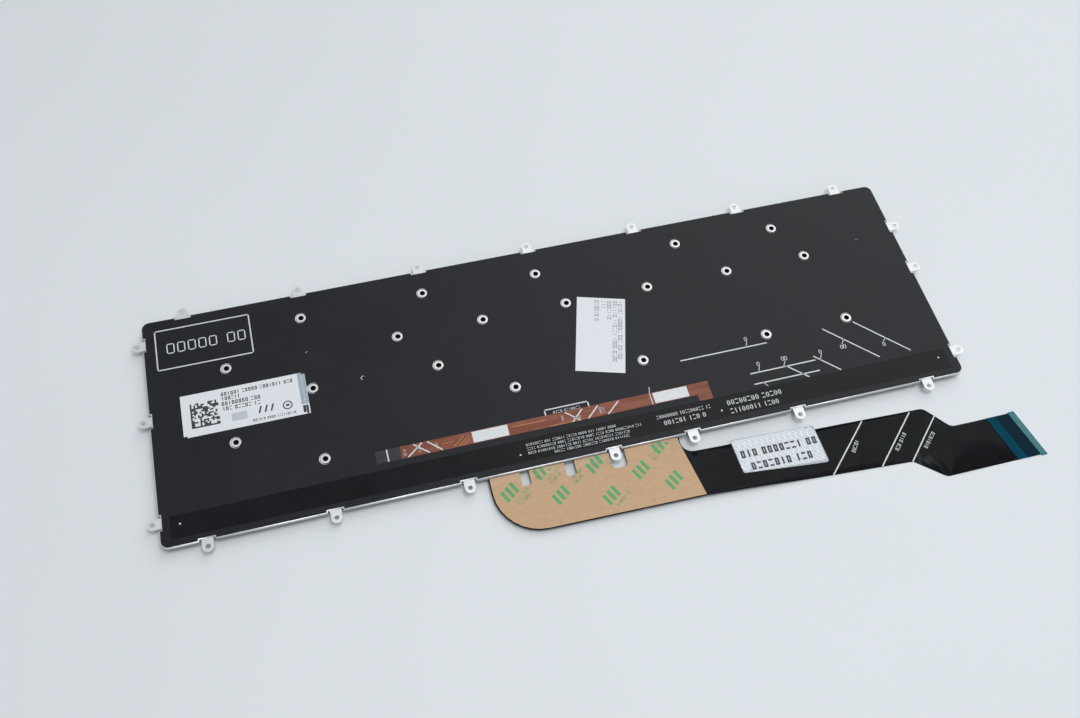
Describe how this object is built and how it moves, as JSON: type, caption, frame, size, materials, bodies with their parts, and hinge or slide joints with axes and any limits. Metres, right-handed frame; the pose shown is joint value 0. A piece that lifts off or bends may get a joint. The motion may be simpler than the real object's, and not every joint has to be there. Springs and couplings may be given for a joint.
{
  "type": "laptop keyboard",
  "caption": "Backlit laptop keyboard module with number pad, metal plate, scissor keys, screw bosses, edge tabs and a flat flexible tail.",
  "frame": {"origin": "on the plane of the keytops, under the middle of the plate", "axes": "+Z from the keytops to the back, +X along the long side from the number pad to the letter keys, +Y from the space bar to the function row"},
  "size_m": [0.3688, 0.1539, 0.0051],
  "materials": {
    "plate": "plain, rolled",
    "membrane_dark": "printed polyester",
    "membrane_clear": "clear polyester",
    "dome_rubber": "matt",
    "lever": "moulded",
    "wire": "drawn",
    "keycap": "fine matt",
    "guide": "clear, frosted",
    "reflector": "white film",
    "film": "satin black film",
    "tape": "glossy black tape",
    "flex_orange": "orange-brown flexible circuit",
    "lamp": "white",
    "white_film": "white film",
    "paper": "coated paper",
    "flex_black": "black printed polyester",
    "liner": "tan tape liner",
    "stiffener": "blue film",
    "contact": "plated",
    "sticker": "silver-grey"
  },
  "bodies": {
    "base": {"base_plate": "plate", "membrane_upper": "membrane_dark", "membrane_spacer": "membrane_clear", "membrane_circuit": "membrane_clear", "rubber_domes": "dome_rubber", "scissor_outer": "lever", "scissor_inner": "lever", "stabiliser_wires": "wire", "other_keys": "keycap", "light_guide": "guide", "reflector": "reflector", "back_film": "film", "edge_tape": "tape", "light_strip": "flex_orange", "lamps": "lamp", "strip_pads": "white_film", "part_label": "paper", "paper_label": "paper", "flex_tail": "flex_black", "tail_liner": "liner", "tail_stiffener": "stiffener", "tail_contacts": "contact", "tail_sticker": "sticker"},
    "key_1_body": {"key_1": "keycap"},
    "key_2_body": {"key_2": "keycap"},
    "key_3_body": {"key_3": "keycap"},
    "key_4_body": {"key_4": "keycap"},
    "key_5_body": {"key_5": "keycap"},
    "key_6_body": {"key_6": "keycap"},
    "key_7_body": {"key_7": "keycap"},
    "key_8_body": {"key_8": "keycap"},
    "key_9_body": {"key_9": "keycap"},
    "key_0_body": {"key_0": "keycap"},
    "key_q_body": {"key_q": "keycap"},
    "key_w_body": {"key_w": "keycap"},
    "key_e_body": {"key_e": "keycap"},
    "key_r_body": {"key_r": "keycap"},
    "key_t_body": {"key_t": "keycap"},
    "key_y_body": {"key_y": "keycap"},
    "key_u_body": {"key_u": "keycap"},
    "key_i_body": {"key_i": "keycap"},
    "key_o_body": {"key_o": "keycap"},
    "key_p_body": {"key_p": "keycap"},
    "key_a_body": {"key_a": "keycap"},
    "key_s_body": {"key_s": "keycap"},
    "key_d_body": {"key_d": "keycap"},
    "key_f_body": {"key_f": "keycap"},
    "key_g_body": {"key_g": "keycap"},
    "key_h_body": {"key_h": "keycap"},
    "key_j_body": {"key_j": "keycap"},
    "key_k_body": {"key_k": "keycap"},
    "key_l_body": {"key_l": "keycap"},
    "key_z_body": {"key_z": "keycap"},
    "key_x_body": {"key_x": "keycap"},
    "key_c_body": {"key_c": "keycap"},
    "key_v_body": {"key_v": "keycap"},
    "key_b_body": {"key_b": "keycap"},
    "key_n_body": {"key_n": "keycap"},
    "key_m_body": {"key_m": "keycap"},
    "key_space_body": {"key_space": "keycap"}
  },
  "joints": [
    {"name": "press_1", "type": "slide", "parent": "base", "child": "key_1_body", "axis": [0, 0, 1], "range_m": [0, 0.0014], "stiffness_N_per_m": 60, "springref_m": -0.006, "deforming": ["rubber_domes", "scissor_outer", "scissor_inner", "stabiliser_wires"]},
    {"name": "press_2", "type": "slide", "parent": "base", "child": "key_2_body", "axis": [0, 0, 1], "range_m": [0, 0.0014], "stiffness_N_per_m": 60, "springref_m": -0.006},
    {"name": "press_3", "type": "slide", "parent": "base", "child": "key_3_body", "axis": [0, 0, 1], "range_m": [0, 0.0014], "stiffness_N_per_m": 60, "springref_m": -0.006},
    {"name": "press_4", "type": "slide", "parent": "base", "child": "key_4_body", "axis": [0, 0, 1], "range_m": [0, 0.0014], "stiffness_N_per_m": 60, "springref_m": -0.006},
    {"name": "press_5", "type": "slide", "parent": "base", "child": "key_5_body", "axis": [0, 0, 1], "range_m": [0, 0.0014], "stiffness_N_per_m": 60, "springref_m": -0.006},
    {"name": "press_6", "type": "slide", "parent": "base", "child": "key_6_body", "axis": [0, 0, 1], "range_m": [0, 0.0014], "stiffness_N_per_m": 60, "springref_m": -0.006},
    {"name": "press_7", "type": "slide", "parent": "base", "child": "key_7_body", "axis": [0, 0, 1], "range_m": [0, 0.0014], "stiffness_N_per_m": 60, "springref_m": -0.006},
    {"name": "press_8", "type": "slide", "parent": "base", "child": "key_8_body", "axis": [0, 0, 1], "range_m": [0, 0.0014], "stiffness_N_per_m": 60, "springref_m": -0.006},
    {"name": "press_9", "type": "slide", "parent": "base", "child": "key_9_body", "axis": [0, 0, 1], "range_m": [0, 0.0014], "stiffness_N_per_m": 60, "springref_m": -0.006},
    {"name": "press_0", "type": "slide", "parent": "base", "child": "key_0_body", "axis": [0, 0, 1], "range_m": [0, 0.0014], "stiffness_N_per_m": 60, "springref_m": -0.006},
    {"name": "press_q", "type": "slide", "parent": "base", "child": "key_q_body", "axis": [0, 0, 1], "range_m": [0, 0.0014], "stiffness_N_per_m": 60, "springref_m": -0.006},
    {"name": "press_w", "type": "slide", "parent": "base", "child": "key_w_body", "axis": [0, 0, 1], "range_m": [0, 0.0014], "stiffness_N_per_m": 60, "springref_m": -0.006},
    {"name": "press_e", "type": "slide", "parent": "base", "child": "key_e_body", "axis": [0, 0, 1], "range_m": [0, 0.0014], "stiffness_N_per_m": 60, "springref_m": -0.006},
    {"name": "press_r", "type": "slide", "parent": "base", "child": "key_r_body", "axis": [0, 0, 1], "range_m": [0, 0.0014], "stiffness_N_per_m": 60, "springref_m": -0.006},
    {"name": "press_t", "type": "slide", "parent": "base", "child": "key_t_body", "axis": [0, 0, 1], "range_m": [0, 0.0014], "stiffness_N_per_m": 60, "springref_m": -0.006},
    {"name": "press_y", "type": "slide", "parent": "base", "child": "key_y_body", "axis": [0, 0, 1], "range_m": [0, 0.0014], "stiffness_N_per_m": 60, "springref_m": -0.006},
    {"name": "press_u", "type": "slide", "parent": "base", "child": "key_u_body", "axis": [0, 0, 1], "range_m": [0, 0.0014], "stiffness_N_per_m": 60, "springref_m": -0.006},
    {"name": "press_i", "type": "slide", "parent": "base", "child": "key_i_body", "axis": [0, 0, 1], "range_m": [0, 0.0014], "stiffness_N_per_m": 60, "springref_m": -0.006},
    {"name": "press_o", "type": "slide", "parent": "base", "child": "key_o_body", "axis": [0, 0, 1], "range_m": [0, 0.0014], "stiffness_N_per_m": 60, "springref_m": -0.006},
    {"name": "press_p", "type": "slide", "parent": "base", "child": "key_p_body", "axis": [0, 0, 1], "range_m": [0, 0.0014], "stiffness_N_per_m": 60, "springref_m": -0.006},
    {"name": "press_a", "type": "slide", "parent": "base", "child": "key_a_body", "axis": [0, 0, 1], "range_m": [0, 0.0014], "stiffness_N_per_m": 60, "springref_m": -0.006},
    {"name": "press_s", "type": "slide", "parent": "base", "child": "key_s_body", "axis": [0, 0, 1], "range_m": [0, 0.0014], "stiffness_N_per_m": 60, "springref_m": -0.006},
    {"name": "press_d", "type": "slide", "parent": "base", "child": "key_d_body", "axis": [0, 0, 1], "range_m": [0, 0.0014], "stiffness_N_per_m": 60, "springref_m": -0.006},
    {"name": "press_f", "type": "slide", "parent": "base", "child": "key_f_body", "axis": [0, 0, 1], "range_m": [0, 0.0014], "stiffness_N_per_m": 60, "springref_m": -0.006},
    {"name": "press_g", "type": "slide", "parent": "base", "child": "key_g_body", "axis": [0, 0, 1], "range_m": [0, 0.0014], "stiffness_N_per_m": 60, "springref_m": -0.006},
    {"name": "press_h", "type": "slide", "parent": "base", "child": "key_h_body", "axis": [0, 0, 1], "range_m": [0, 0.0014], "stiffness_N_per_m": 60, "springref_m": -0.006},
    {"name": "press_j", "type": "slide", "parent": "base", "child": "key_j_body", "axis": [0, 0, 1], "range_m": [0, 0.0014], "stiffness_N_per_m": 60, "springref_m": -0.006},
    {"name": "press_k", "type": "slide", "parent": "base", "child": "key_k_body", "axis": [0, 0, 1], "range_m": [0, 0.0014], "stiffness_N_per_m": 60, "springref_m": -0.006},
    {"name": "press_l", "type": "slide", "parent": "base", "child": "key_l_body", "axis": [0, 0, 1], "range_m": [0, 0.0014], "stiffness_N_per_m": 60, "springref_m": -0.006},
    {"name": "press_z", "type": "slide", "parent": "base", "child": "key_z_body", "axis": [0, 0, 1], "range_m": [0, 0.0014], "stiffness_N_per_m": 60, "springref_m": -0.006},
    {"name": "press_x", "type": "slide", "parent": "base", "child": "key_x_body", "axis": [0, 0, 1], "range_m": [0, 0.0014], "stiffness_N_per_m": 60, "springref_m": -0.006},
    {"name": "press_c", "type": "slide", "parent": "base", "child": "key_c_body", "axis": [0, 0, 1], "range_m": [0, 0.0014], "stiffness_N_per_m": 60, "springref_m": -0.006},
    {"name": "press_v", "type": "slide", "parent": "base", "child": "key_v_body", "axis": [0, 0, 1], "range_m": [0, 0.0014], "stiffness_N_per_m": 60, "springref_m": -0.006},
    {"name": "press_b", "type": "slide", "parent": "base", "child": "key_b_body", "axis": [0, 0, 1], "range_m": [0, 0.0014], "stiffness_N_per_m": 60, "springref_m": -0.006},
    {"name": "press_n", "type": "slide", "parent": "base", "child": "key_n_body", "axis": [0, 0, 1], "range_m": [0, 0.0014], "stiffness_N_per_m": 60, "springref_m": -0.006},
    {"name": "press_m", "type": "slide", "parent": "base", "child": "key_m_body", "axis": [0, 0, 1], "range_m": [0, 0.0014], "stiffness_N_per_m": 60, "springref_m": -0.006},
    {"name": "press_space", "type": "slide", "parent": "base", "child": "key_space_body", "axis": [0, 0, 1], "range_m": [0, 0.0014], "stiffness_N_per_m": 60, "springref_m": -0.006}
  ]
}
